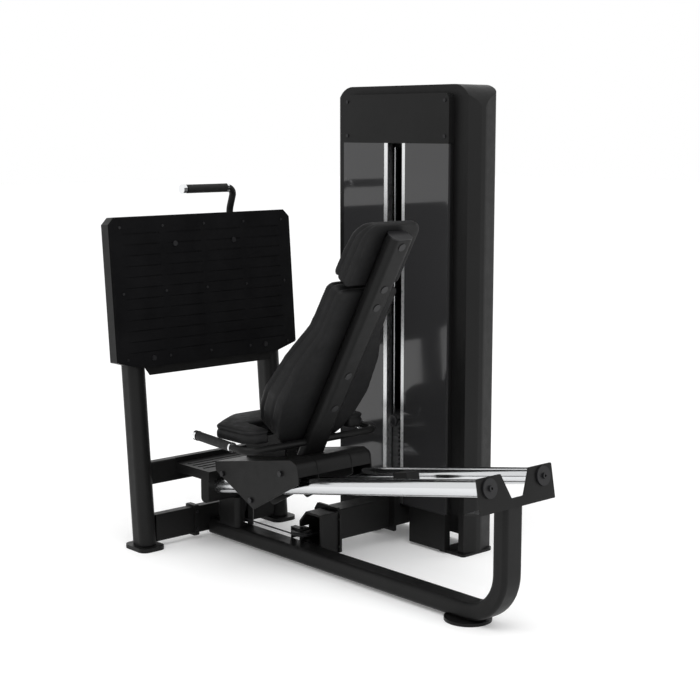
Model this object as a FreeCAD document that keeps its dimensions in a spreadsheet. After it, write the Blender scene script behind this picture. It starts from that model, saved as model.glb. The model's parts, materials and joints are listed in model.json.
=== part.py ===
import FreeCAD, Part
import math
import os

# Selectorised leg press.  A fixed foot panel faces a seat carriage that rolls
# on two sloping rails; a cable joins the carriage to a weight stack tower.
# Written about the machine's own datum: X runs from foot panel to rail bracket,
# Y from the seat's centreline to the tower, Z up from the floor.  Every node is
# then shifted so that the origin is the bottom centre of the whole machine.

V = FreeCAD.Vector
doc = FreeCAD.newDocument("leg_press")
sheet = doc.addObject("Spreadsheet::Sheet", "Sheet")

SIZES = [
    ("datum_x", 189.45), ("datum_y", 106.0), ("wall", 4.0), ("plate", 6.0),
    ("rail_radius", 25.8), ("rail_bore", 22.8), ("rail_length", 1276.0), ("rail_gauge", 114.5),
    ("runner_width", 78.7), ("runner_height", 53.5), ("runner_bend", 138.0),
    ("post_depth", 88.0), ("post_width", 66.0), ("post_length", 1003.0), ("post_gauge", 298.0),
    ("beam_low_depth", 40.0), ("beam_low_height", 97.0),
    ("beam_up_depth", 36.0), ("beam_up_height", 80.0),
    ("panel_half_width", 394.0), ("panel_height", 521.6), ("panel_skin", 5.0), ("panel_flange", 42.0),
    ("mat_thickness", 6.0), ("groove_depth", 2.0),
    ("tower_height", 1600.0), ("tower_half_width", 317.5), ("tower_depth", 150.0),
    ("tower_front", 456.0), ("tower_wall", 24.0),
    ("header_width", 521.0), ("header_height", 166.0), ("header_depth", 26.0),
    ("window_height", 1268.0), ("window_depth", 5.0), ("strip_depth", 9.0),
    ("plinth_height", 127.0), ("plinth_depth", 26.0),
    ("plate_width", 226.0), ("plate_depth", 94.0), ("plate_height", 15.6), ("plate_pitch", 16.0),
    ("axle_clearance", 0.6), ("groove_clearance", 1.0),
    ("rod_radius", 9.5), ("rod_length", 1235.0), ("cable_radius", 2.6), ("core_radius", 1.6),
    ("press_pulley", 50.0), ("floor_pulley", 35.0), ("lower_pulley", 24.0), ("upper_pulley", 40.0),
    ("pulley_width", 14.0), ("roller_up", 22.3), ("roller_low", 14.0), ("roller_width", 26.0),
    ("cover_width", 306.0), ("bar_width", 28.0), ("bar_height", 20.0), ("bar_length", 790.0),
    ("seat_thickness", 44.0), ("beam_width", 86.0), ("beam_depth", 50.0), ("beam_length", 850.0),
    ("handle_radius", 12.5), ("grip_radius", 15.5), ("foot_thickness", 9.8),
]
for row, (name, value) in enumerate(SIZES, start=1):
    sheet.set("A%d" % row, name)
    sheet.set("B%d" % row, str(value))
    sheet.setAlias("B%d" % row, name)
doc.recompute()


def size(name):
    """Read one driving dimension back from the sheet."""
    return float(sheet.get(name))


DATUM = V(size("datum_x"), size("datum_y"), 0)
SLOPE = math.radians(10.13)
RAIL_END = V(972.0, 0, 455.3)
LEAN = math.degrees(math.atan2(41.0, 520.0))
RECLINE = 29.7
NODES = []


def at(x, y, z, axis=V(0, 0, 1), angle=0.0):
    """Placement at a machine-datum point, turned about an axis in degrees."""
    return FreeCAD.Placement(V(x, y, z) - DATUM, FreeCAD.Rotation(axis, angle))


def on_rail(along, across, above):
    """Placement whose X follows the rails and whose Z stands square on them."""
    spot = RAIL_END + V(math.cos(SLOPE), 0, math.sin(SLOPE)) * along
    spot = spot + V(-math.sin(SLOPE), 0, math.cos(SLOPE)) * above + V(0, across, 0)
    return at(spot.x, spot.y, spot.z, V(0, 1, 0), -math.degrees(SLOPE))


def on_recline(up, across, out):
    """Placement whose Z climbs the back beam and whose -X points at the user."""
    lean = math.radians(RECLINE)
    spot = V(41.0, across, 400.0) + V(math.sin(lean), 0, math.cos(lean)) * up
    spot = spot + V(-math.cos(lean), 0, math.sin(lean)) * out
    return at(spot.x, spot.y, spot.z, V(0, 1, 0), RECLINE)


def keep(label, item):
    """Name a finished sub-part and put it in the list to export."""
    item.Label = label
    NODES.append(item)
    return item


def bind(item, **links):
    """Bind properties to sheet cells or expressions of them."""
    for prop, text in links.items():
        item.setExpression(prop, text)
    return item


def box(place, length, width, height):
    """Box with sizes given as sheet expressions."""
    return bind(placed("Part::Box", place), Length=length, Width=width, Height=height)


def cylinder(place, radius, height):
    """Cylinder along its placement's Z."""
    return bind(placed("Part::Cylinder", place), Radius=radius, Height=height)


def placed(kind, place):
    """Add a primitive with a placement."""
    item = doc.addObject(kind, "Solid")
    item.Placement = place
    return item


def joined(*items):
    """Fuse several solids into one."""
    item = doc.addObject("Part::MultiFuse", "Joined")
    item.Shapes = list(items)
    return item


def less(base, *tools):
    """Take one or more tools away from a base."""
    item = doc.addObject("Part::Cut", "Less")
    item.Base = base
    item.Tool = tools[0] if len(tools) == 1 else joined(*tools)
    return item


def group(*items):
    """Separate solids that share one node."""
    item = doc.addObject("Part::Compound", "Group")
    item.Links = list(items)
    return item


def corner_path(points):
    """Lines and tangent arcs of a closed outline; points are (x, y, corner radius)."""
    count = len(points)
    trims = []
    for index, (x, y, radius) in enumerate(points):
        here = V(x, y, 0)
        before = V(*points[index - 1][:2], 0) - here
        after = V(*points[(index + 1) % count][:2], 0) - here
        before.normalize()
        after.normalize()
        if radius <= 0:
            trims.append((here, None, here))
            continue
        half = before.getAngle(after) / 2
        run = radius / math.tan(half)
        middle = before + after
        middle.normalize()
        centre = here + middle * (radius / math.sin(half))
        trims.append((here + before * run, centre - middle * radius, here + after * run))
    edges = []
    for index, (start, apex, end) in enumerate(trims):
        if apex is not None:
            edges.append(Part.Arc(start, apex, end))
        follow = trims[(index + 1) % count][0]
        if (follow - end).Length > 1e-4:
            edges.append(Part.LineSegment(end, follow))
    return edges


def circle(x, y, radius):
    """One round edge for a sketch."""
    return [Part.Circle(V(x, y, 0), V(0, 0, 1), radius)]


def body(place):
    """An empty PartDesign body."""
    item = doc.addObject("PartDesign::Body", "Body")
    item.Placement = place
    return item


def sketch(owner, plane, loops):
    """Sketch on one of the body's own origin planes."""
    item = owner.newObject("Sketcher::SketchObject", "Sketch")
    for feature in owner.Origin.OriginFeatures:
        if feature.Role == plane:
            item.AttachmentSupport = (feature, [""])
    item.MapMode = "FlatFace"
    for loop in loops:
        item.addGeometry(loop, False)
    return item


def pad(place, plane, loops, length):
    """Body made by padding closed loops; inner loops become holes."""
    owner = body(place)
    feature = owner.newObject("PartDesign::Pad", "Pad")
    feature.Profile = sketch(owner, plane, loops)
    feature.setExpression("Length", length)
    owner.Tip = feature
    return owner


def turned(place, profile):
    """Body of revolution about its own Z from (radius, height) points."""
    owner = body(place)
    feature = owner.newObject("PartDesign::Revolution", "Revolution")
    outline = sketch(owner, "XZ_Plane", [corner_path(profile)])
    feature.Profile = outline
    feature.ReferenceAxis = (outline, ["V_Axis"])
    feature.Angle = 360.0
    owner.Tip = feature
    return owner


def rounded(width, height, radius):
    """Centred rectangle with rounded corners."""
    x, y = width / 2, height / 2
    return corner_path([(-x, -y, radius), (x, -y, radius), (x, y, radius), (-x, y, radius)])


def tube(place, width, height, radius, wall, length):
    """Rounded rectangular tube along its placement's Z."""
    inner = rounded(width - 2 * wall, height - 2 * wall, max(radius - wall, 1.0))
    return pad(place, "XY_Plane", [rounded(width, height, radius), inner], length)


def route(points):
    """Open wire of straight runs and tangent arcs; points are (x, y, z, bend radius)."""
    spots = [V(p[0], p[1], p[2]) - DATUM for p in points]
    edges = []
    start = spots[0]
    for index in range(1, len(spots) - 1):
        here = spots[index]
        before = spots[index - 1] - here
        after = spots[index + 1] - here
        before.normalize()
        after.normalize()
        half = before.getAngle(after) / 2
        run = points[index][3] / math.tan(half)
        middle = before + after
        middle.normalize()
        centre = here + middle * (points[index][3] / math.sin(half))
        enter = here + before * run
        leave = here + after * run
        if (enter - start).Length > 1e-4:
            edges.append(Part.LineSegment(start, enter).toShape())
        edges.append(Part.Arc(enter, centre - middle * points[index][3], leave).toShape())
        start = leave
    edges.append(Part.LineSegment(start, spots[-1]).toShape())
    return Part.Wire(edges)


def swept(points, radius):
    """Round bar swept along a route of lines and arcs."""
    wire = route(points)
    first = wire.Edges[0]
    tangent = first.tangentAt(first.FirstParameter)
    section = Part.Wire(Part.makeCircle(radius, first.valueAt(first.FirstParameter), tangent))
    solid = wire.makePipeShell([section], True, False)
    item = doc.addObject("Part::Feature", "Bar")
    item.Shape = solid
    return item


def runner():
    """Low floor tube that turns up at the back to carry the rail bracket."""
    low = 36.5
    rear = 943.0

    def leg(width, height, start, top):
        section = sketch_wire(rounded(width, height, 14.0 if width > 60 else 10.0), start, low)
        path = doc.addObject("Part::Feature", "Path")
        path.Shape = route([(start, 0, low, 0), (rear, 0, low, size("runner_bend")), (rear, 0, top, 0)])
        item = doc.addObject("Part::Sweep", "Sweep")
        item.Sections = [section]
        item.Spine = (path, ["Edge1", "Edge2", "Edge3"])
        item.Solid = True
        item.Frenet = False
        return item

    outer = leg(size("runner_width"), size("runner_height"), -459.0, 420.0)
    bore = leg(size("runner_width") - 7.0, size("runner_height") - 7.0, -455.0, 424.0)
    top = bind(placed("Part::Box", on_rail(-150, -100, -71.5)), Length="300", Width="200", Height="200")
    return keep("base_runner", less(outer, bore, top))


def sketch_wire(edges, x, z):
    """Section across X at the start of the floor tube."""
    item = doc.addObject("Part::Feature", "Section")
    item.Shape = Part.Wire([edge.toShape() for edge in edges])
    item.Placement = FreeCAD.Placement(V(x, 0, z) - DATUM, FreeCAD.Rotation(V(1, 1, 1), 120))
    return item


def feet():
    """Round foot under the runner, plates under the posts and tower shoes."""
    parts = [cylinder(at(790, 0, 0), "73", "Sheet.foot_thickness - 0.1")]
    for side in (-1, 1):
        place = at(-483, side * size("post_gauge"), 0)
        parts.append(pad(place, "XY_Plane", [rounded(126, 100, 28)], "13.9"))
    for low, high_x in ((-312, -190), (225, 347)):
        foot = corner_path([(low, 444, 12), (high_x, 444, 12), (high_x, 602, 30), (low, 602, 30)])
        parts.append(pad(at(0, 0, 0), "XY_Plane", [foot], "8.9"))
    return keep("floor_feet", group(*parts))


def posts():
    """Two leaning rounded tubes that carry the foot panel."""
    made = []
    for side in (-1, 1):
        place = at(-484.0, side * size("post_gauge"), 14.0, V(0, 1, 0), -LEAN)
        shaft = tube(place, size("post_depth"), size("post_width"), 30, 3, "Sheet.post_length")
        trim = box(at(-600, side * size("post_gauge") - 60, -10), "220", "120", "24")
        made.append(less(shaft, trim))
    keep("front_posts", group(*made))


def crossbeams():
    """Lower beam in three bolted lengths, upper beam and panel beam."""
    def beam(x, z, depth, height, start, length, radius):
        place = FreeCAD.Placement(V(x, start, z) - DATUM, FreeCAD.Rotation(V(1, 0, 0), -90))
        return tube(place, depth, height, radius, 3, length)

    low = beam(-479, 68.5, size("beam_low_depth"), size("beam_low_height"), -264.6, "529.2", 6)
    up = beam(-505, 260, size("beam_up_depth"), size("beam_up_height"), -264.6, "529.2", 6)
    top = beam(-572, 985, 40, 50, -264.6, "529.2", 8)
    keep("upper_beams", group(up, top))
    plates = []
    for y in (-95, 95):
        shell = pad(at(-479, y + 9, 68.5), "XZ_Plane", [rounded(56, 112, 6), rounded(38, 95, 5)], "18")
        plates.append(shell)
    bolts = []
    for y in (-95, 95):
        for z in (36, 101):
            bolts.append(cylinder(at(-451, y, z, V(0, 1, 0), 90), "5", "4"))
    keep("lower_crossbeam", joined(low, *plates))
    return bolts


def panel_place(right, up, out):
    """Placement on the foot panel: X across (+Y), Y up the panel, Z at the user."""
    lean = math.radians(LEAN)
    spot = V(-476.0, right, 638.0) + V(-math.sin(lean), 0, math.cos(lean)) * up
    spot = spot + V(math.cos(lean), 0, math.sin(lean)) * out
    turn = FreeCAD.Rotation(V(0, 1, 0), V(-math.sin(lean), 0, math.cos(lean)),
                            V(math.cos(lean), 0, math.sin(lean)), "XYZ")
    return FreeCAD.Placement(spot - DATUM, turn)


def panel_outline(inset):
    """Wide rectangle with clipped corners."""
    half = size("panel_half_width") - inset
    top = size("panel_height") - inset
    low = inset
    return corner_path([
        (-half + 95, low, 4), (half - 95, low, 4), (half, low + 28, 4), (half, top - 24, 4),
        (half - 24, top, 4), (-half + 24, top, 4), (-half, top - 24, 4), (-half, low + 28, 4)])


def foot_panel():
    """Folded steel tray, ribbed rubber mat and their fixings."""
    back = size("mat_thickness")
    tray = pad(panel_place(0, 0, -back - size("panel_skin")), "XY_Plane", [panel_outline(0)],
               "Sheet.panel_skin")
    rim = pad(panel_place(0, 0, -back - 42), "XY_Plane", [panel_outline(0), panel_outline(4)],
              "Sheet.panel_flange - Sheet.panel_skin")
    apron = corner_path([(-285, 0, 0), (285, 0, 0), (262, -33, 4), (-262, -33, 4)])
    low = pad(panel_place(0, 6, -back - 6.9), "XY_Plane", [apron], "4")
    room = []
    for side in (-1, 1):
        place = panel_place(side * size("post_gauge") - 35, -45, -70)
        room.append(box(place, "70", "110", "58.9"))
    keep("foot_panel", less(joined(tray, rim, low), *room))
    mat = pad(panel_place(0, 0, -back), "XY_Plane", [panel_outline(3)], "Sheet.mat_thickness")
    cuts = sketch(mat, "XY_Plane", groove_loops())
    cuts.AttachmentOffset = FreeCAD.Placement(V(0, 0, back), FreeCAD.Rotation())
    doc.recompute()
    before = mat.Shape.Volume
    pocket = mat.newObject("PartDesign::Pocket", "Grooves")
    pocket.Profile = cuts
    pocket.setExpression("Length", "Sheet.groove_depth")
    mat.Tip = pocket
    doc.recompute()
    if not mat.Shape.Volume < before:
        raise RuntimeError("the grooves cut nothing")
    keep("foot_mat", mat)
    screws = []
    for column in range(5):
        for row in range(3):
            place = panel_place(-352 + 176 * column, 34 + 226 * row, 0.1)
            screws.append(bind(placed("Part::Cylinder", place), Radius="4.5", Height="1.4"))
    bolts = []
    for right, up in ((-128, 412), (128, 412), (-246, 22.5), (246, 22.5)):
        bolts.append(cylinder(panel_place(right, up + 10, 0.1), "9", "3"))
    keep("panel_fasteners", group(*screws, *bolts))


def groove_loops():
    """Four columns of twelve tapered grooves, each with a round end."""
    loops = []
    for column in range(4):
        left = -344 + 176 * column
        for row in range(12):
            y = 56 + 37 * row
            loops.append(corner_path([(left, y - 0.6, 0), (left + 140, y - 2.4, 0),
                                      (left + 140, y + 2.4, 0), (left, y + 0.6, 0)]))
            loops.append(circle(left + 148, y, 3.2))
    return loops


def entry_handle():
    """Bent tube above the panel with a grip across it."""
    bend = [(-583, 168, 1010.2, 0), (-583, 168, 1165, 60), (-555, 168, 1243, 32), (-555, -50, 1243, 0)]
    keep("entry_handle", swept(bend, size("handle_radius")))
    along = V(1, 0, 0)
    grip = less(cylinder(at(-555, 130, 1243, along, 90), "Sheet.grip_radius", "174"),
                cylinder(at(-555, 132, 1243, along, 90), "Sheet.handle_radius + 0.05", "190"))
    keep("entry_grip", grip)
    cap = cylinder(at(-555, -50.1, 1243, along, 90), "17", "14")
    ring = less(cylinder(at(-555, 138, 1243, along, 90), "16.5", "7.8"),
                cylinder(at(-555, 139, 1243, along, 90), "Sheet.handle_radius + 0.05", "12"))
    keep("entry_handle_caps", group(cap, ring))


def rails():
    """Two round guide rails, their rear bracket, end caps and front bearer."""
    bars = []
    for side in (-1, 1):
        place = on_rail(-1282, side * size("rail_gauge"), 0)
        place = place.multiply(FreeCAD.Placement(V(0, 0, 0), FreeCAD.Rotation(V(0, 1, 0), 90)))
        loops = [circle(0, 0, size("rail_radius")), circle(0, 0, size("rail_bore"))]
        bars.append(pad(place, "XY_Plane", loops, "Sheet.rail_length"))
    keep("guide_rails", group(*bars))
    outline = corner_path([
        (-159, -71.4, 3), (159, -71.4, 3), (159, 33, 5), (61, 33, 5),
        (26, -43, 6), (-26, -43, 6), (-61, 33, 5), (-159, 33, 5)])
    face = pad(on_rail(-5.9, 0, 0), "YZ_Plane", [outline], "Sheet.plate")
    shelf = bind(placed("Part::Box", on_rail(-62, -159, -71.4)), Length="60", Width="318",
                 Height="Sheet.plate")
    keep("rear_bracket", joined(face, shelf))
    caps = []
    for side in (-1, 1):
        place = on_rail(0.2, side * size("rail_gauge"), 0)
        place = place.multiply(FreeCAD.Placement(V(0, 0, 0), FreeCAD.Rotation(V(0, 1, 0), 90)))
        disc = cylinder(place, "29", "6")
        head = cylinder(place, "9", "12")
        socket = cylinder(place.multiply(FreeCAD.Placement(V(0, 0, 8), FreeCAD.Rotation())), "4", "8")
        caps.append(less(joined(disc, head), socket))
    keep("rail_end_caps", group(*caps))
    outline = corner_path([(-335, 172, 18), (-291, 172, 18), (-291, 251.9, 2), (-335, 251.9, 2)])
    bearer = pad(at(0, 160, 0), "XZ_Plane", [outline], "320")
    tools = [box(at(-345, -12, 165), "60", "24", "62")]
    for side in (-1, 1):
        place = on_rail(-1290, side * size("rail_gauge"), 0)
        place = place.multiply(FreeCAD.Placement(V(0, 0, 0), FreeCAD.Rotation(V(0, 1, 0), 90)))
        tools.append(cylinder(place, "Sheet.rail_radius + 0.1", "60"))
    keep("rail_bearer", less(bearer, *tools))


def front_structure():
    """Hollow column on the runner and the ribbed step above the bearer."""
    outer = rounded(118, 84, 20)
    inner = rounded(110, 76, 16)
    column = pad(at(-345, 0, 63.4), "XY_Plane", [outer, inner], "108")
    window = box(at(-300, -8, 70), "40", "16", "110")
    axle_bore = cylinder(across_y(-345, 60, 140), "5.05", "120")
    keep("front_column", less(column, window, axle_bore))
    top = box(at(-486.5, -160, 281), "198", "320", "4")
    rear = box(at(-486.5, -160, 285), "4", "320", "18")
    skirts = [box(at(-486.5, y, 252), "198", "4", "29") for y in (-160, 156)]
    nose = box(at(-292.5, -160, 252), "4", "320", "29")
    ribs = [box(at(x, -140, 285), "6", "280", "2") for x in (-440, -410, -380, -350)]
    notches = []
    for side in (-1, 1):
        place = on_rail(-1290, side * size("rail_gauge"), 0)
        place = place.multiply(FreeCAD.Placement(V(0, 0, 0), FreeCAD.Rotation(V(0, 1, 0), 90)))
        notches.append(cylinder(place, "Sheet.rail_radius + 0.2", "60"))
    keep("step_plate", less(joined(top, rear, nose, *skirts, *ribs), *notches))


def side_link():
    """Housing and hollow duct that tie the runner to the tower."""
    house = corner_path([(-42, 20, 2), (70, 20, 2), (70, 166, 2), (-8, 166, 2), (-42, 128, 2)])
    hollow = corner_path([(-36, 62, 2), (64, 62, 2), (64, 158, 2), (-6, 158, 2), (-36, 124, 2)])
    shell = pad(at(0, 118.9, 0), "XZ_Plane", [house, hollow], "79.4")
    wheel_window = box(at(-50, 38, 80), "20", "43", "27")
    keep("link_housing", less(shell, wheel_window))
    plates = []
    for y, low in ((129, 23), (385, 50)):
        outer = corner_path([(-56, low, 4), (77, low, 4), (77, low + 132, 10), (62, low + 160 - low / 4, 4),
                             (-41, low + 160 - low / 4, 4), (-56, low + 132, 10)])
        inner = corner_path([(-26, 62, 2), (46, 62, 2), (46, 158, 2), (-26, 158, 2)])
        plates.append(pad(at(0, y, 0), "XZ_Plane", [outer, inner], "9.9"))
    outer = corner_path([(-30, 58, 5), (50, 58, 5), (50, 165, 5), (-30, 165, 5)])
    inner = corner_path([(-26, 62, 2), (46, 62, 2), (46, 161, 2), (-26, 161, 2)])
    duct = pad(at(0, 429.8, 0), "XZ_Plane", [outer, inner], "310.6")
    outer = corner_path([(-30, 58, 5), (50, 58, 5), (50, 127.5, 5), (-30, 127.5, 5)])
    inner = corner_path([(-26, 62, 2), (46, 62, 2), (46, 123.5, 2), (-26, 123.5, 2)])
    stub = pad(at(0, 476, 0), "XZ_Plane", [outer, inner], "47")
    keep("link_duct", joined(duct, stub, *plates))
    bolts = []
    for x, radius in ((-49, "5"), (73.5, "3.2")):
        for z in (45, 140):
            bolts.append(cylinder(at(x, 118.9, z, V(1, 0, 0), 90), radius, "4"))
    return bolts


def tower():
    """Arched tower shell, front covers, windows, trims and foot plates."""
    centre = 17.5
    half = size("tower_half_width") + 12
    high = size("tower_height")
    wall = size("tower_wall")
    front = size("tower_front")
    arch = corner_path([(centre - half, 9, 0), (centre + half, 9, 0), (centre + half, high, 78),
                        (centre - half, high, 78)])
    block = pad(at(0, front + size("tower_depth"), 0), "XZ_Plane", [arch], "Sheet.tower_depth")
    side = half - 12
    plan = corner_path([(centre - side, front, 0), (centre + side, front, 0),
                        (centre + half + 3, front + 62, 80), (centre + side - 8, front + 150, 22),
                        (centre - side + 8, front + 150, 22), (centre - half - 3, front + 62, 80)])
    column = pad(at(0, 0, 0), "XY_Plane", [plan], "Sheet.tower_height + 1")
    inside = half - 12 - wall
    core = corner_path([(centre - inside, 0, 0), (centre + inside, 0, 0),
                        (centre + inside, high - wall, 50), (centre - inside, high - wall, 50)])
    void = pad(at(0, front + 160, 0), "XZ_Plane", [core], "200")
    shape = doc.addObject("Part::Common", "Common")
    shape.Base = block
    shape.Tool = column
    keep("tower_shell", less(shape, void))
    back = corner_path([(centre - inside + 0.2, 20, 0), (centre + inside - 0.2, 20, 0),
                        (centre + inside - 0.2, high - wall - 0.2, 50),
                        (centre - inside + 0.2, high - wall - 0.2, 50)])
    keep("tower_back_panel", pad(at(0, front + 148, 0), "XZ_Plane", [back], "4"))
    ring = corner_path([(centre - inside + 0.2, 139, 0), (centre + inside - 0.2, 139, 0),
                        (centre + inside - 0.2, high - wall - 0.2, 50),
                        (centre - inside + 0.2, high - wall - 0.2, 50)])
    gap = corner_path([(-24, 152, 0), (48, 152, 0), (48, 1402, 0), (-24, 1402, 0)])
    sheet_metal = pad(at(0, front + 4, 0), "XZ_Plane", [ring, gap], "4")
    cover = corner_path([(-250, 1405, 4), (271, 1405, 4), (271, 1571, 22), (-250, 1571, 22)])
    head = pad(at(0, front - 0.1, 0), "XZ_Plane", [cover], "Sheet.header_depth")
    keep("header_cover", head)
    screws = []
    for x in (-230.5, 251.5):
        for z in (1429, 1547):
            screws.append(cylinder(at(x, front - 26.2, z, V(1, 0, 0), 90), "6", "3"))
    keep("header_screws", group(*screws))
    panes = []
    for low, top in ((-250, -42.2), (63.2, 271)):
        pane = corner_path([(low, 137, 2), (top, 137, 2), (top, 1404.5, 2), (low, 1404.5, 2)])
        panes.append(pad(at(0, front - 16, 0), "XZ_Plane", [pane], "10"))
    keep("windows", group(*panes))
    frames = []
    for low, top in ((-249, -44), (65, 270)):
        rim = corner_path([(low, 138, 0), (top, 138, 0), (top, 1404, 0), (low, 1404, 0)])
        hole = corner_path([(low + 24, 162, 0), (top - 24, 162, 0), (top - 24, 1380, 0), (low + 24, 1380, 0)])
        frames.append(pad(at(0, front - 0.1, 0), "XZ_Plane", [rim, hole], "15.8"))
    keep("tower_front_panel", group(sheet_metal, *frames))
    strips = []
    for low, top in ((-42, -24), (48, 63)):
        bar = corner_path([(low, 137, 1), (top, 137, 1), (top, 1404.5, 1), (low, 1404.5, 1)])
        strips.append(pad(at(0, front - 0.1, 0), "XZ_Plane", [bar], "24.9"))
    keep("slot_strips", group(*strips))
    covers = []
    for low, top in ((-250, -75.5), (96.5, 271)):
        sheet_loop = corner_path([(low, 9, 3), (top, 9, 3), (top, 136.5, 3), (low, 136.5, 3)])
        covers.append(pad(at(0, front - 0.1, 0), "XZ_Plane", [sheet_loop], "Sheet.plinth_depth"))
    covers.append(box(at(-75.4, front - 20, 128), "171.8", "19.8", "8.4"))
    keep("plinth_covers", group(*covers))


STACK_X = 10.5
STACK_Y = 508.0
STACK_LOW = 165.0
PLATES = 16


def stack():
    """Guide rods, bumpers, plates and the lifting head."""
    base = box(at(-275.8, 478, 141.5), "586.6", "56", "13.5")
    clear = cylinder(at(STACK_X, STACK_Y, 130), "20", "40")
    keep("stack_base", less(base, clear))
    top = box(at(-275.8, 478, 1389), "586.6", "57.8", "40")
    wheel_room = box(at(STACK_X - 12, 470, 1380), "24", "90", "60")
    keep("tower_crosshead", less(top, wheel_room))
    rods = [cylinder(at(STACK_X + side * 78, STACK_Y, 155.1), "Sheet.rod_radius", "1233.8") for side in (-1, 1)]
    keep("guide_rods", group(*rods))
    bumpers = []
    for side in (-1, 1):
        ring = cylinder(at(STACK_X + side * 78, STACK_Y, 155.1), "19", "9.8")
        hole = cylinder(at(STACK_X + side * 78, STACK_Y, 150), "Sheet.rod_radius + 0.1", "30")
        bumpers.append(less(ring, hole))
    keep("stack_bumpers", group(*bumpers))
    loops = stack_loops(7.0)
    plates = []
    for index in range(PLATES):
        z = STACK_LOW + index * size("plate_pitch")
        slab = pad(at(STACK_X, STACK_Y, z), "XY_Plane", loops, "Sheet.plate_height")
        bore = cylinder(at(STACK_X, 500, z + 7.8, V(1, 0, 0), 90), "5", "60")
        plates.append(less(slab, bore))
    keep("weight_plates", group(*plates))
    head_z = STACK_LOW + PLATES * size("plate_pitch")
    slab = pad(at(STACK_X, STACK_Y, head_z), "XY_Plane", [rounded(size("plate_width"), size("plate_depth"), 5)] + stack_loops(0)[2:], "22")
    rod = cylinder(at(STACK_X, STACK_Y, STACK_LOW + 4), "6.8", "%g" % (head_z - STACK_LOW + 16))
    yoke = cylinder(at(STACK_X, STACK_Y, head_z + 22.1), "11", "46")
    shank = cylinder(at(STACK_X, STACK_Y, head_z + 10), "6.8", "14")
    holes = []
    for index in range(PLATES):
        z = STACK_LOW + index * size("plate_pitch") + 7.8
        holes.append(cylinder(at(STACK_X, 520, z, V(1, 0, 0), 90), "5", "30"))
    holes.append(cylinder(at(STACK_X, 520, head_z + 10, V(1, 0, 0), 90), "5.05", "80"))
    keep("stack_head", less(joined(slab, rod, shank, yoke), *holes))
    pin = cylinder(at(STACK_X, 516, head_z + 10, V(1, 0, 0), 90), "4.5", "80")
    knob = turned(at(STACK_X, 437, head_z + 10, V(1, 0, 0), 90),
                  [(0, 0, 0), (21, 0, 3), (21, 14, 4), (0, 20, 0)])
    keep("selector_pin", joined(pin, knob))


def stack_loops(middle):
    """Plate outline with the rod bores and the selector bore."""
    loops = [rounded(size("plate_width"), size("plate_depth"), 5), circle(0, 0, middle)]
    loops.append(circle(-78, 0, size("rod_radius") + 0.6))
    loops.append(circle(78, 0, size("rod_radius") + 0.6))
    return loops


def wheel(place, radius):
    """Grooved cable wheel centred on its placement, axle along Z."""
    half = size("pulley_width") / 2
    reach = radius + 3.0
    deep = radius - size("cable_radius") - size("groove_clearance")
    bore = 5.0 + size("axle_clearance")
    return turned(place, [(bore, -half, 0), (reach, -half, 1), (deep, -1.6, 0), (deep, 1.6, 0),
                          (reach, half, 1), (bore, half, 0)])


def across_y(x, y, z):
    """Placement with Z along -Y."""
    return at(x, y, z, V(1, 0, 0), 90)


def across_x(x, y, z):
    """Placement with Z along +X."""
    return at(x, y, z, V(0, 1, 0), 90)


def pulleys():
    """Four cable wheels and the axles and cheeks that carry them."""
    low = 90.0
    keep("press_pulley", wheel(across_y(-345, 0, low + 50), size("press_pulley")))
    keep("floor_pulley", wheel(at(-24.5, 35, low), size("floor_pulley")))
    keep("tower_low_pulley", wheel(across_x(STACK_X, 564, low + 24), size("lower_pulley")))
    keep("tower_top_pulley", wheel(across_x(STACK_X, 548, 1409), size("upper_pulley")))
    axles = [cylinder(across_y(-345, 42, low + 50), "5", "84"),
             cylinder(at(-24.5, 35, 63.4), "5", "45"),
             cylinder(across_x(STACK_X - 30, 564, low + 24), "5", "60"),
             cylinder(across_x(STACK_X - 30, 548, 1409), "5", "60")]
    hole = cylinder(at(-24.5, 35, 95), "5.05", "20")
    cover = less(box(at(-48, 22, 100.5), "44", "40", "4"), hole)
    leg = box(at(-70, 24, 63.4), "5", "22", "41")
    tie = box(at(-70, 24, 100.5), "23", "22", "4")
    keeper = joined(cover, leg, tie)
    pads = []
    for z, y in ((low + 24, 564), (1409, 548)):
        for side in (-1, 1):
            block = box(at(STACK_X + side * 18 - 3, y - 12, z - 12), "6", "%g" % (603.8 - y + 12 - 3.8), "24")
            bore = cylinder(across_x(STACK_X - 40, y, z), "5.05", "80")
            pads.append(less(block, bore))
    keep("pulley_mounts", group(keeper, *pads, *axles))


def cables():
    """Steel cable: fixed route, riding core under the bar and the stack drop."""
    low = 90.0
    slope_x, slope_z = math.cos(SLOPE), math.sin(SLOPE)
    hub = V(-345, 0, low + 50)
    lift = hub + V(-slope_z, 0, slope_x) * 50
    bend_top = lift - V(slope_x, 0, slope_z) * 50 * math.tan(math.pi / 4 - SLOPE / 2)
    edge_x = -345 - 50
    path = [(lift.x + slope_x * 855, 0, lift.z + slope_z * 855, 0),
            (bend_top.x, 0, bend_top.z, 50.0),
            (edge_x, 0, low, 50.0),
            (STACK_X, 0, low, 35.0),
            (STACK_X, 588, low, 24.0),
            (STACK_X, 588, 1449, 40.0),
            (STACK_X, 508, 1449, 40.0),
            (STACK_X, 508, 1405, 0)]
    solid = swept(path, size("cable_radius"))
    lane = V(slope_x, 0, slope_z)
    start = lift + lane * 60
    turn = math.degrees(math.pi / 2 - SLOPE)
    hollow = cylinder(at(start.x, 0, start.z, V(0, 1, 0), turn), "Sheet.core_radius + 0.15", "800")
    keep("fixed_cable", less(solid, hollow))
    core = cylinder(at(start.x + lane.x * 5, 0, start.z + lane.z * 5, V(0, 1, 0), turn),
                    "Sheet.core_radius", "830")
    keep("cable_core", core)
    drop_low = STACK_LOW + PLATES * size("plate_pitch") + 68.3
    keep("stack_cable", cylinder(at(STACK_X, STACK_Y, drop_low), "Sheet.cable_radius", "%g" % (1404.8 - drop_low)))


CART = -1040.0


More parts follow.
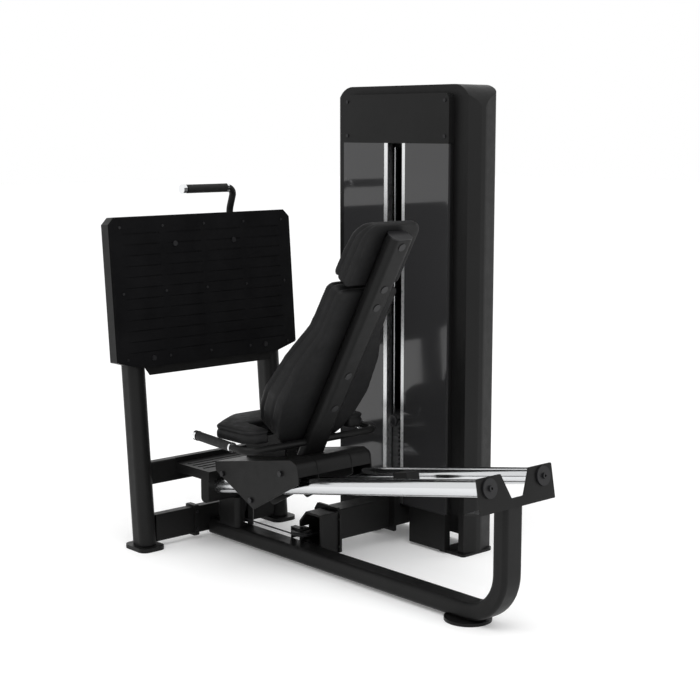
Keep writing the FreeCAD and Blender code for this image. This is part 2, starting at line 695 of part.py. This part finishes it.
def drive():
    """Notched drive bar between the rails and its rear block."""
    place = on_rail(-1222, 0, -9)
    bar = pad(place, "XZ_Plane", [corner_path([(0, 0, 2), (size("bar_length"), 0, 2),
              (size("bar_length"), 20, 2), (0, 20, 2)])], "Sheet.bar_width")
    bar.Placement = on_rail(-1222, size("bar_width") / 2, -9)
    holes = []
    for index in range(11):
        place = on_rail(-840 + 30 * index, 0, -20)
        holes.append(bind(placed("Part::Cylinder", place), Radius="6", Height="60"))
    rack = less(bar, *holes)
    block = box(on_rail(-485, -27, -38), "60", "54", "68")
    bore = cylinder(on_rail(-500, 0, -28.8).multiply(
        FreeCAD.Placement(V(0, 0, 0), FreeCAD.Rotation(V(0, 1, 0), 90))), "3.2", "50")
    keep("drive_bar", joined(rack, less(block, bore)))


SIDE_PLATE = [(-185.5, 91.6, 3), (-187.3, 59.8, 8), (-2, -71.2, 14), (250.9, 12.4, 6),
              (254.7, 73.6, 22), (223.4, 91.5, 8)]
AXLES = [(-149.6, 48.5), (165.7, 48.5), (-9.6, -40.2)]


def carriage():
    """Roller carriage: side plates, cover, rollers and axle bolts."""
    def plates(levels):
        made = []
        for y in levels:
            holes = [circle(x, z, 6.1) for x, z in AXLES]
            made.append(pad(on_rail(CART, y + 2, 0), "XZ_Plane", [corner_path(SIDE_PLATE)] + holes,
                            "Sheet.wall"))
        return group(*made)

    keep("roller_plates", plates((-158, -74, 74, 158)))
    skin = [(-187, 91.4, 3), (224, 91.4, 26), (252, 74, 24), (252, 34, 0), (248, 34, 0), (248, 72, 20),
            (222, 87.4, 22), (-187, 87.4, 0)]
    hood = pad(on_rail(CART, 153 + 2.9, 0), "XZ_Plane", [corner_path(skin)], "311.8")
    slots = []
    for y in (-76.1, 71.9):
        slots.append(box(on_rail(CART - 195, y, 12), "455", "4.2", "81"))
    keep("carriage_cover", less(hood, *slots))
    for (x, z), label in zip(AXLES, ("front_rollers", "rear_rollers", "lower_rollers")):
        radius = abs(z) - size("rail_radius") - 0.2
        bore = 6.0 + size("axle_clearance")
        rolls = []
        for side in (-1, 1):
            middle = side * size("rail_gauge")
            place = on_rail(CART + x, middle, z).multiply(
                FreeCAD.Placement(V(0, 0, 0), FreeCAD.Rotation(V(1, 0, 0), 90)))
            rolls.append(turned(place, [
                (bore, -15, 0), (radius + 4.4, -15, 1), (radius, -9, 1),
                (radius, 9, 1), (radius + 4.4, 15, 1), (bore, 15, 0)]))
        keep(label, group(*rolls))
    bolts = []
    for x, z in AXLES:
        for side in (-1, 1):
            inner = side * 70
            place = on_rail(CART + x, 0, z).multiply(
                FreeCAD.Placement(V(0, inner, 0), FreeCAD.Rotation(V(1, 0, 0), -90 * side)))
            shaft = cylinder(place, "6", "92")
            tip = place.multiply(FreeCAD.Placement(V(0, 0, 90.2), FreeCAD.Rotation()))
            hexes = [V(10 * math.cos(math.pi / 3 * k), 10 * math.sin(math.pi / 3 * k), 0) for k in range(6)]
            nut = pad(tip, "XY_Plane", [corner_path([(c.x, c.y, 0) for c in hexes])], "7")
            bolts.append(joined(shaft, nut))
    keep("axle_bolts", group(*bolts))


def seat():
    """Seat bearer, cushion, back beam with its caps, gusset and pads."""
    risers = []
    for y in (-60, 54):
        outline = corner_path([(-205, 338.2, 0), (5, 375.8, 0), (5, 440, 0), (-205, 440, 0)])
        risers.append(pad(at(0, y + 6, 0), "XZ_Plane", [outline], "6"))
    pan = box(at(-205, -150, 440), "150", "300", "5")
    rear = box(at(-55, -60, 440), "45", "120", "5")
    keep("seat_bearer", joined(pan, rear, *risers))
    outline = corner_path([
        (-225, -100, 20), (-118, -255, 30), (64, -255, 42), (64, -172, 12), (-62, -168, 14),
        (-62, 168, 14), (64, 172, 12), (64, 255, 42), (-118, 255, 30), (-225, 100, 20)])
    keep("seat_cushion", pad(at(0, 0, 446), "XY_Plane", [outline], "Sheet.seat_thickness"))
    place = on_recline(-12, 0, -size("beam_depth") / 2)
    beam = tube(place, size("beam_depth"), size("beam_width"), 20, 3, "868")
    foot = box(on_rail(-1040, -100, -100), "300", "200", "191.7")
    post = less(beam, foot)
    caps = [pad(on_recline(856.2, 0, -25), "XY_Plane", [rounded(49, 85, 19.5)], "4")]
    for up in (832, 676, 607, 340, 208):
        caps.append(cylinder(on_recline(up, 0, -50.1).multiply(
            FreeCAD.Placement(V(0, 0, 0), FreeCAD.Rotation(V(0, 1, 0), 90))), "13", "2"))
    keep("beam_caps", group(*caps))
    web = corner_path([(60, 385.6, 0), (150, 401.7, 0), (150, 515, 0), (128, 515, 0)])
    brace = pad(at(0, 21, 0), "XZ_Plane", [web], "42")
    room = box(on_recline(-80, -60, -49.0), "120", "120", "400")
    keep("back_beam", joined(post, less(brace, room)))
    side = corner_path([(15, 1, 4), (24, 92, 14), (62, 112, 18), (128, 112, 40), (212, 102, 60), (353, 80, 60),
                        (475, 66, 60), (636, 68, 16), (650, 40, 10), (650, 1, 4)])
    front = corner_path([
        (90, 15, 12), (141, 62, 60), (171, 128, 80), (189, 212, 60), (174, 353, 60), (131, 475, 80),
        (126, 640, 25), (-126, 640, 25), (-131, 475, 80), (-174, 353, 60), (-189, 212, 60),
        (-171, 128, 80), (-141, 62, 60), (-90, 15, 12)])
    keep("back_pad", cushion(side, front, 120))
    side = corner_path([(656, 1, 4), (656, 40, 10), (668, 74, 14), (750, 70, 40), (822, 60, 26), (866, 38, 16),
                        (886, 12, 6), (886, 1, 3)])
    front = corner_path([(-112, 654, 14), (112, 654, 14), (112, 888, 46), (-112, 888, 46)])
    keep("head_pad", cushion(side, front, 90))


def cushion(side, front, depth):
    """Common of a side profile (up, out) and a front outline (across, up)."""
    lean = math.radians(RECLINE)
    up = V(math.sin(lean), 0, math.cos(lean))
    out = V(-math.cos(lean), 0, math.sin(lean))
    origin = V(41.0, 0, 400.0)
    side_place = FreeCAD.Placement(origin + V(0, 250, 0) - DATUM, FreeCAD.Rotation(up, out, up.cross(out), "XYZ"))
    first = pad(side_place, "XY_Plane", [side], "500")
    front_place = FreeCAD.Placement(origin - DATUM, FreeCAD.Rotation(V(0, 1, 0), up, V(0, 1, 0).cross(up), "XYZ"))
    second = pad(front_place, "XY_Plane", [front], "%g" % (depth * 2))
    second.Placement = FreeCAD.Placement(origin - V(0, 1, 0).cross(up) * depth - DATUM, front_place.Rotation)
    item = doc.addObject("Part::Common", "Common")
    item.Base = first
    item.Tool = second
    return item


def seat_handles():
    """Bent side handles, grips and end caps."""
    tubes, grips, caps = [], [], []
    for side in (-1, 1):
        bend = [(86, side * 43.3, 434, 0), (86, side * 280, 434, 40), (-178, side * 280, 447, 0)]
        tubes.append(swept(bend, size("handle_radius") - 0.5))
        axis = V(-264, 0, 13)
        axis.normalize()
        turn = FreeCAD.Rotation(V(0, 0, 1), axis)
        start = V(0, side * 280, 434 + 13 * 86 / 264)
        grip = bind(placed("Part::Cylinder", FreeCAD.Placement(start - DATUM, turn)),
                    Radius="Sheet.grip_radius", Height="176")
        bore = bind(placed("Part::Cylinder", FreeCAD.Placement(start - axis * 5 - DATUM, turn)),
                    Radius="Sheet.handle_radius - 0.45", Height="200")
        grips.append(less(grip, bore))
        cap = bind(placed("Part::Cylinder", FreeCAD.Placement(start + axis * 178.5 - DATUM, turn)),
                   Radius="17", Height="14")
        ring = bind(placed("Part::Cylinder", FreeCAD.Placement(start - axis * 7 - DATUM, turn)),
                    Radius="16.5", Height="6.9")
        ring_bore = bind(placed("Part::Cylinder", FreeCAD.Placement(start - axis * 12 - DATUM, turn)),
                         Radius="Sheet.handle_radius - 0.45", Height="30")
        caps.extend([cap, less(ring, ring_bore)])
    keep("seat_handles", group(*tubes))
    keep("seat_handle_grips", group(*grips))
    keep("seat_handle_caps", group(*caps))


runner()
feet()
posts()
frame_bolts = crossbeams()
foot_panel()
entry_handle()
rails()
front_structure()
frame_bolts.extend(side_link())
keep("frame_bolts", group(*frame_bolts))
tower()
stack()
pulleys()
cables()
drive()
carriage()
seat()
seat_handles()

doc.recompute()
for item in doc.Objects:
    if "Invalid" in item.State or "Error" in item.State:
        raise RuntimeError("%s did not compute: %s" % (item.Name, item.State))
os.makedirs("parts", exist_ok=True)
extent = FreeCAD.BoundBox()
for item in NODES:
    shape = item.Shape
    if shape.isNull() or not shape.isValid() or not shape.Solids:
        raise RuntimeError("%s is not a valid solid" % item.Label)
    for point in shape.tessellate(0.5)[0]:
        extent.add(point)
    shape.exportStep("parts/%s.step" % item.Label)
print(len(NODES), "nodes", extent)
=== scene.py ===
import json
import math

import bpy
import numpy as np
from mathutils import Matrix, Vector


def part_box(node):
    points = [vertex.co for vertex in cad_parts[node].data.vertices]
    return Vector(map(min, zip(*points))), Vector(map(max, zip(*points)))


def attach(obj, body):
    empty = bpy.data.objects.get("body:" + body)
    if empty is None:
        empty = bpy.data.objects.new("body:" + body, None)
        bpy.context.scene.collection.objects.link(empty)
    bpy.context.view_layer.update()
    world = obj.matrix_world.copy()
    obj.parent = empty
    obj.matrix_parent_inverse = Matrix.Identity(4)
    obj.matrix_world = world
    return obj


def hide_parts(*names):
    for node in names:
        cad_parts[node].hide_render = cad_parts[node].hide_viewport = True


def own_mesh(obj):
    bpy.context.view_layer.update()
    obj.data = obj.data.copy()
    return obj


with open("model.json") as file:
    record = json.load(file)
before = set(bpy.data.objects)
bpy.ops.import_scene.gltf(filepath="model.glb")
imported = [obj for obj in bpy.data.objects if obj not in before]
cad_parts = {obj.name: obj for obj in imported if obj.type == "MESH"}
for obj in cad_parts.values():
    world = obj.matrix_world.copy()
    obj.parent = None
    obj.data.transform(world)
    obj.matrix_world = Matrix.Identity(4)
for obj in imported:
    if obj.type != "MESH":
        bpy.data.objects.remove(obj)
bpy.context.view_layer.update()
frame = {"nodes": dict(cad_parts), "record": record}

scene = bpy.context.scene

# The machine's own datum, measured from the frame's origin.
DATUM = np.array([0.18945, 0.106, 0.0])

# ---------------------------------------------------------------- camera
CAMERA_SPOT = (3.6679, -3.0618, 1.4574)
CAMERA_DIP = 8.702
CAMERA_HEADING = 48.055
CAMERA_LENS = 74.75
SENSOR_WIDTH = 36.0
CAMERA_REACH = 60


def set_camera():
    """Camera at a standing person's distance, looking a little down."""
    cam = bpy.data.cameras.new("camera")
    cam.lens = CAMERA_LENS
    cam.sensor_width = SENSOR_WIDTH
    cam.clip_end = CAMERA_REACH
    obj = bpy.data.objects.new("camera", cam)
    scene.collection.objects.link(obj)
    obj.location = Vector(CAMERA_SPOT) - Vector(DATUM)
    obj.rotation_euler = (math.radians(90 - CAMERA_DIP), 0, math.radians(CAMERA_HEADING))
    scene.camera = obj


set_camera()


# ---------------------------------------------------------------- materials
class Mat:
    """Small builder for one procedural material."""

    def __init__(self, name, color, rough, metal=0.0, coat=0.0, spec=0.5):
        self.material = bpy.data.materials.new(name)
        self.material.use_nodes = True
        self.tree = self.material.node_tree
        self.shader = self.tree.nodes["Principled BSDF"]
        self.shader.inputs["Base Color"].default_value = (*color, 1)
        self.shader.inputs["Roughness"].default_value = rough
        self.shader.inputs["Metallic"].default_value = metal
        self.shader.inputs["Coat Weight"].default_value = coat
        self.shader.inputs["Specular IOR Level"].default_value = spec
        self.tex = self.tree.nodes.new("ShaderNodeTexCoord")
        self.normal = None

    def place(self, node, stretch):
        """Feed a texture node with object coordinates, stretched if asked."""
        source = self.tex.outputs["Object"]
        if stretch:
            mapping = self.tree.nodes.new("ShaderNodeMapping")
            mapping.inputs["Scale"].default_value = stretch
            self.tree.links.new(source, mapping.inputs["Vector"])
            source = mapping.outputs["Vector"]
        self.tree.links.new(source, node.inputs["Vector"])

    def noise(self, scale, detail=3.0, stretch=None):
        """Noise factor."""
        node = self.tree.nodes.new("ShaderNodeTexNoise")
        node.inputs["Scale"].default_value = scale
        node.inputs["Detail"].default_value = detail
        self.place(node, stretch)
        return node.outputs["Fac"]

    def cells(self, scale):
        """Distance to the edges of small cells, for grain."""
        node = self.tree.nodes.new("ShaderNodeTexVoronoi")
        node.feature = "DISTANCE_TO_EDGE"
        node.inputs["Scale"].default_value = scale
        self.place(node, None)
        return node.outputs["Distance"]

    def ramp(self, factor, low, high):
        """Map the middle of a factor's range to low and high."""
        node = self.tree.nodes.new("ShaderNodeMapRange")
        node.inputs["From Min"].default_value = 0.3
        node.inputs["From Max"].default_value = 0.7
        node.inputs["To Min"].default_value = low
        node.inputs["To Max"].default_value = high
        self.tree.links.new(factor, node.inputs["Value"])
        return node.outputs["Result"]

    def rough(self, factor, low, high):
        """Roughness that wanders between two values."""
        self.tree.links.new(self.ramp(factor, low, high), self.shader.inputs["Roughness"])

    def colour(self, factor, dark, light):
        """Base colour that wanders between two colours."""
        mix = self.tree.nodes.new("ShaderNodeMix")
        mix.data_type = "RGBA"
        mix.inputs["A"].default_value = (*dark, 1)
        mix.inputs["B"].default_value = (*light, 1)
        self.tree.links.new(self.ramp(factor, 0, 1), mix.inputs["Factor"])
        self.tree.links.new(mix.outputs["Result"], self.shader.inputs["Base Color"])

    def bump(self, factor, strength, distance):
        """Add one layer of bump over any earlier one."""
        node = self.tree.nodes.new("ShaderNodeBump")
        node.inputs["Strength"].default_value = strength
        node.inputs["Distance"].default_value = distance
        self.tree.links.new(factor, node.inputs["Height"])
        if self.normal is not None:
            self.tree.links.new(self.normal, node.inputs["Normal"])
        self.normal = node.outputs["Normal"]
        self.tree.links.new(self.normal, self.shader.inputs["Normal"])


def powder_coat():
    """Satin black powder coat with a fine orange peel."""
    tone = 0.0065
    rough = 0.40
    mat = Mat("powder_black", (tone, tone, tone * 1.03), rough, spec=0.15)
    mat.colour(mat.noise(6, 4), (tone * 0.9,) * 3, (tone * 1.12,) * 3)
    mat.rough(mat.noise(35, 3), rough - 0.05, rough + 0.06)
    mat.bump(mat.noise(900, 2), 0.22, 0.0006)
    mat.bump(mat.noise(160, 2), 0.10, 0.0006)
    return mat


def mat_rubber():
    """Matt black rubber of the foot mat."""
    mat = Mat("mat_rubber", (0.004, 0.004, 0.0045), 0.72, spec=0.06)
    mat.rough(mat.noise(60, 4), 0.64, 0.80)
    mat.colour(mat.noise(9, 5), (0.003, 0.003, 0.0034), (0.0055, 0.0055, 0.006))
    mat.bump(mat.noise(700, 3), 0.3, 0.0005)
    return mat


def polished_steel():
    """Bright steel of the rails and the guide rods."""
    mat = Mat("polished_steel", (0.66, 0.67, 0.68), 0.16, metal=1.0)
    mat.rough(mat.noise(40, 4), 0.13, 0.19)
    mat.bump(mat.noise(300, 2), 0.012, 0.0002)
    return mat


def anodised_trim():
    """Brushed strips beside the selector slot."""
    mat = Mat("anodised_trim", (0.80, 0.81, 0.81), 0.3, metal=1.0)
    mat.rough(mat.noise(60, 3, (20, 20, 1)), 0.24, 0.38)
    mat.bump(mat.noise(400, 2, (10, 10, 0.6)), 0.06, 0.0003)
    return mat


def chrome():
    """Handle end caps."""
    mat = Mat("chrome", (0.86, 0.87, 0.88), 0.08, metal=1.0)
    mat.rough(mat.noise(50, 4), 0.05, 0.16)
    return mat


def black_oxide():
    """Blackened bolts and screws."""
    mat = Mat("black_oxide", (0.008, 0.008, 0.009), 0.4, spec=0.3)
    mat.rough(mat.noise(120, 3), 0.3, 0.5)
    mat.bump(mat.noise(800, 2), 0.15, 0.0004)
    return mat


def grip_rubber():
    """Grained hand grips."""
    mat = Mat("grip_rubber", (0.007, 0.007, 0.007), 0.55, spec=0.25)
    mat.rough(mat.noise(80, 3), 0.45, 0.65)
    mat.bump(mat.cells(420), 0.35, 0.0005)
    return mat


def tinted_window():
    """Glossy dark panes of the tower."""
    mat = Mat("tinted_window", (0.026, 0.026, 0.027), 0.06, coat=0.2, spec=0.5)
    mat.shader.inputs["Coat Roughness"].default_value = 0.03
    mat.rough(mat.noise(5, 4), 0.05, 0.10)
    mat.bump(mat.noise(3, 2), 0.01, 0.001)
    return mat


def stack_paint():
    """Painted cast iron of the weight stack."""
    mat = Mat("stack_paint", (0.03, 0.03, 0.031), 0.5, metal=0.2)
    mat.colour(mat.noise(30, 4), (0.022, 0.022, 0.023), (0.045, 0.045, 0.046))
    mat.bump(mat.noise(260, 4), 0.3, 0.0008)
    return mat


def buffer_rubber():
    """Buffers under the weight stack."""
    mat = Mat("buffer_rubber", (0.015, 0.015, 0.015), 0.7)
    mat.bump(mat.noise(300, 3), 0.3, 0.0006)
    return mat


def nylon():
    """Rollers and cable wheels."""
    mat = Mat("nylon", (0.014, 0.014, 0.015), 0.38, spec=0.3)
    mat.rough(mat.noise(90, 3), 0.3, 0.46)
    mat.bump(mat.noise(500, 2), 0.1, 0.0004)
    return mat


def cable_sleeve():
    """Plastic sleeve of the steel cable."""
    mat = Mat("cable_sleeve", (0.014, 0.014, 0.015), 0.35, spec=0.35)
    mat.bump(mat.noise(900, 2, (1, 1, 0.3)), 0.15, 0.0003)
    mat.rough(mat.noise(70, 3), 0.28, 0.42)
    return mat


def moulded_knob():
    """Selector knob and the caps of the back beam."""
    mat = Mat("moulded_knob", (0.012, 0.012, 0.013), 0.34, spec=0.3)
    mat.rough(mat.noise(90, 3), 0.28, 0.42)
    mat.bump(mat.noise(700, 2), 0.12, 0.0004)
    return mat


def upholstery():
    """Grained black upholstery."""
    mat = Mat("upholstery", (0.008, 0.008, 0.0083), 0.5, spec=0.15)
    mat.colour(mat.noise(14, 4), (0.007, 0.007, 0.0073), (0.010, 0.010, 0.0103))
    mat.rough(mat.noise(45, 4), 0.43, 0.6)
    mat.bump(mat.cells(520), 0.28, 0.0006)
    mat.bump(mat.noise(30, 3), 0.12, 0.002)
    return mat


SLOT_MAKERS = {
    "black_frame": powder_coat,
    "footmat": mat_rubber,
    "steel": polished_steel,
    "trim": anodised_trim,
    "chrome": chrome,
    "black_metal": black_oxide,
    "grip": grip_rubber,
    "window": tinted_window,
    "iron": stack_paint,
    "rubber": buffer_rubber,
    "nylon": nylon,
    "cable": cable_sleeve,
    "knob": moulded_knob,
    "upholstery": upholstery,
}
MATS = {slot: maker().material for slot, maker in SLOT_MAKERS.items()}
SHARP_ANGLE = 32


def dress_nodes():
    """Give every CAD node its slot's material and smooth shading."""
    slots = {part["node"]: part["material_slot"] for part in frame["record"]["subparts"]}
    for name, obj in frame["nodes"].items():
        obj.data.materials.clear()
        obj.data.materials.append(MATS[slots[name]])
        obj.data.shade_smooth()
        obj.data.set_sharp_from_angle(angle=math.radians(SHARP_ANGLE))


dress_nodes()


# ---------------------------------------------------------------- cushions
# The back beam leans back; pads are shaped by distance up it and out from it.
RECLINE = math.radians(29.7)
UP = np.array([math.sin(RECLINE), 0, math.cos(RECLINE)])
OUT = np.array([-math.cos(RECLINE), 0, math.sin(RECLINE)])
BEAM_FOOT = np.array([0.041, 0.0, 0.400]) - DATUM
VOXEL = 0.004
SIDE_GAIN = 1.6


def remeshed(node, name):
    """Even quad mesh over a CAD solid, as a new object."""
    src = frame["nodes"][node]
    obj = bpy.data.objects.new(name, src.data.copy())
    obj.matrix_world = src.matrix_world.copy()
    scene.collection.objects.link(obj)
    mod = obj.modifiers.new("remesh", "REMESH")
    mod.mode = "VOXEL"
    mod.voxel_size = VOXEL
    mod.use_smooth_shade = True
    deps = bpy.context.evaluated_depsgraph_get()
    mesh = bpy.data.meshes.new_from_object(obj.evaluated_get(deps))
    mesh.transform(src.matrix_world)
    bpy.data.objects.remove(obj)
    out = bpy.data.objects.new(name, mesh)
    scene.collection.objects.link(out)
    return out


def relax(mesh, rounds):
    """Smooth a mesh's vertices towards their neighbours' mean."""
    count = len(mesh.vertices)
    co = np.empty(count * 3)
    mesh.vertices.foreach_get("co", co)
    co = co.reshape(-1, 3)
    edges = np.empty(len(mesh.edges) * 2, dtype=np.int64)
    mesh.edges.foreach_get("vertices", edges)
    edges = edges.reshape(-1, 2)
    degree = np.bincount(edges.ravel(), minlength=count)[:, None]
    for _ in range(rounds):
        total = np.zeros_like(co)
        np.add.at(total, edges[:, 0], co[edges[:, 1]])
        np.add.at(total, edges[:, 1], co[edges[:, 0]])
        co += 0.5 * (total / np.maximum(degree, 1) - co)
    write(mesh, co)
    return co


def write(mesh, co):
    """Put vertex positions back in a mesh."""
    mesh.vertices.foreach_set("co", co.ravel())
    mesh.update()


def normals(mesh):
    """Vertex normals as an array."""
    arr = np.empty(len(mesh.vertices) * 3)
    mesh.vertices.foreach_get("normal", arr)
    return arr.reshape(-1, 3)


def groove(value, centre, width, depth):
    """Inward move of a sewn channel along one level."""
    return -depth * np.exp(-((value - centre) / width) ** 2)


def dome(value, middle, half):
    """One at the middle, falling to nothing at the half width."""
    return np.clip(1 - ((value - middle) / half) ** 2, 0, 1)


def finish_pad(obj, node, co):
    """Write the shape, cover it and tie it to the seat carriage."""
    mesh = obj.data
    write(mesh, co)
    mesh.shade_smooth()
    mesh.materials.clear()
    mesh.materials.append(MATS["upholstery"])
    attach(obj, "seat_carriage")
    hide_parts(node)


def pad_piece(node, name, rounds, crown, seams, half, span, edge):
    """Crowned pad with sewn seams at fractions of its edge thickness."""
    obj = remeshed(node, name)
    co = relax(obj.data, rounds)
    rel = co - BEAM_FOOT
    across, up, out = rel[:, 1], rel @ UP, rel @ OUT
    nrm = normals(obj.data)
    low, high = span
    wave = dome(across, 0, half) * dome(up, (low + high) / 2, (high - low) / 2)
    move = crown * np.clip(nrm @ OUT, 0, 1) * np.sqrt(wave)
    side = np.clip((1 - np.abs(nrm @ OUT)) * SIDE_GAIN, 0, 1)
    for fraction, width, depth in seams:
        move += groove(out, fraction * np.interp(up, *edge), width, depth) * side
    finish_pad(obj, node, co + nrm * move[:, None])


# Edge thickness of each pad: heights up the beam, then thickness at each.
BACK_EDGE = ([0.015, 0.062, 0.128, 0.212, 0.353, 0.475, 0.65],
             [0.06, 0.112, 0.112, 0.102, 0.080, 0.066, 0.066])
HEAD_EDGE = ([0.655, 0.75, 0.822, 0.886], [0.074, 0.070, 0.060, 0.02])

pad_piece("back_pad", "back_pad_upholstery", 24, 0.010,
          [(0.80, 0.0045, 0.0048), (0.34, 0.0045, 0.0040)], 0.19, (0.0, 0.66), BACK_EDGE)
pad_piece("head_pad", "head_pad_upholstery", 14, 0.008,
          [(0.76, 0.0045, 0.0048), (0.34, 0.0045, 0.0040)], 0.115, (0.65, 0.89), HEAD_EDGE)


def seat_piece():
    """Seat cushion with rounded edges and a sewn border."""
    rounds, crown = 9, 0.008
    seam_drop, seam_width, seam_depth = 0.014, 0.0045, 0.0045
    obj = remeshed("seat_cushion", "seat_upholstery")
    co = relax(obj.data, rounds)
    nrm = normals(obj.data)
    low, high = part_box("seat_cushion")
    wave = np.ones(len(co))
    for axis in (0, 1):
        middle, half = (low[axis] + high[axis]) / 2, (high[axis] - low[axis]) / 2
        wave = wave * dome(co[:, axis], middle, half)
    move = crown * np.clip(nrm[:, 2], 0, 1) * np.sqrt(wave)
    side = np.clip((1 - np.abs(nrm[:, 2])) * SIDE_GAIN, 0, 1)
    move += groove(co[:, 2], high[2] - seam_drop, seam_width, seam_depth) * side
    finish_pad(obj, "seat_cushion", co + nrm * move[:, None])


seat_piece()


# ---------------------------------------------------------------- stack drop
CABLE_RADIUS = 0.0026


def stack_drop():
    """Cable above the lifting head, as one straight cylinder over the stack cable's extent."""
    low, high = (Vector(corner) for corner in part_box("stack_cable"))
    mid = (low + high) / 2
    bpy.ops.mesh.primitive_cylinder_add(vertices=24, radius=CABLE_RADIUS, depth=high.z - low.z,
                                        location=mid)
    obj = bpy.context.object
    obj.name = "stack_drop_cable"
    obj.data.materials.append(MATS["cable"])
    obj.data.shade_smooth()
    bpy.context.view_layer.update()
    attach(obj, "frame")
    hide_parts("stack_cable")
    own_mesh(obj)


stack_drop()

# ---------------------------------------------------------------- studio
FLOOR_SIZE = 60
FLOOR_GLOW = 0.12


def lay_floor():
    """Plain pale floor."""
    bpy.ops.mesh.primitive_plane_add(size=FLOOR_SIZE, location=(0, 0, 0))
    floor = bpy.context.object
    floor.name = "floor"
    mat = Mat("studio_floor", (0.93, 0.93, 0.93), 0.9, spec=0.1)
    mat.shader.inputs["Emission Color"].default_value = (1, 1, 1, 1)
    mat.shader.inputs["Emission Strength"].default_value = FLOOR_GLOW
    mat.rough(mat.noise(3, 2), 0.85, 0.95)
    floor.data.materials.append(mat.material)


def light_world():
    """Even white surroundings."""
    world = bpy.data.worlds.new("studio")
    scene.world = world
    world.use_nodes = True
    back = world.node_tree.nodes["Background"]
    back.inputs["Color"].default_value = (1, 1, 1, 1)
    back.inputs["Strength"].default_value = 1.0


def area(name, spot, aim, size, power):
    """Square soft light aimed at a point."""
    light = bpy.data.lights.new(name, "AREA")
    light.energy = power
    light.size = size
    obj = bpy.data.objects.new(name, light)
    scene.collection.objects.link(obj)
    obj.location = spot
    obj.rotation_euler = (Vector(aim) - Vector(spot)).to_track_quat("-Z", "Y").to_euler()


lay_floor()
light_world()
area("key", (0.8, -1.6, 4.6), (0.1, 0.0, 0.3), 3.2, 62)
area("fill", (4.4, 0.6, 2.8), (0.2, 0.1, 0.6), 2.6, 22)
scene.view_settings.view_transform = "Standard"
scene.view_settings.look = "None"
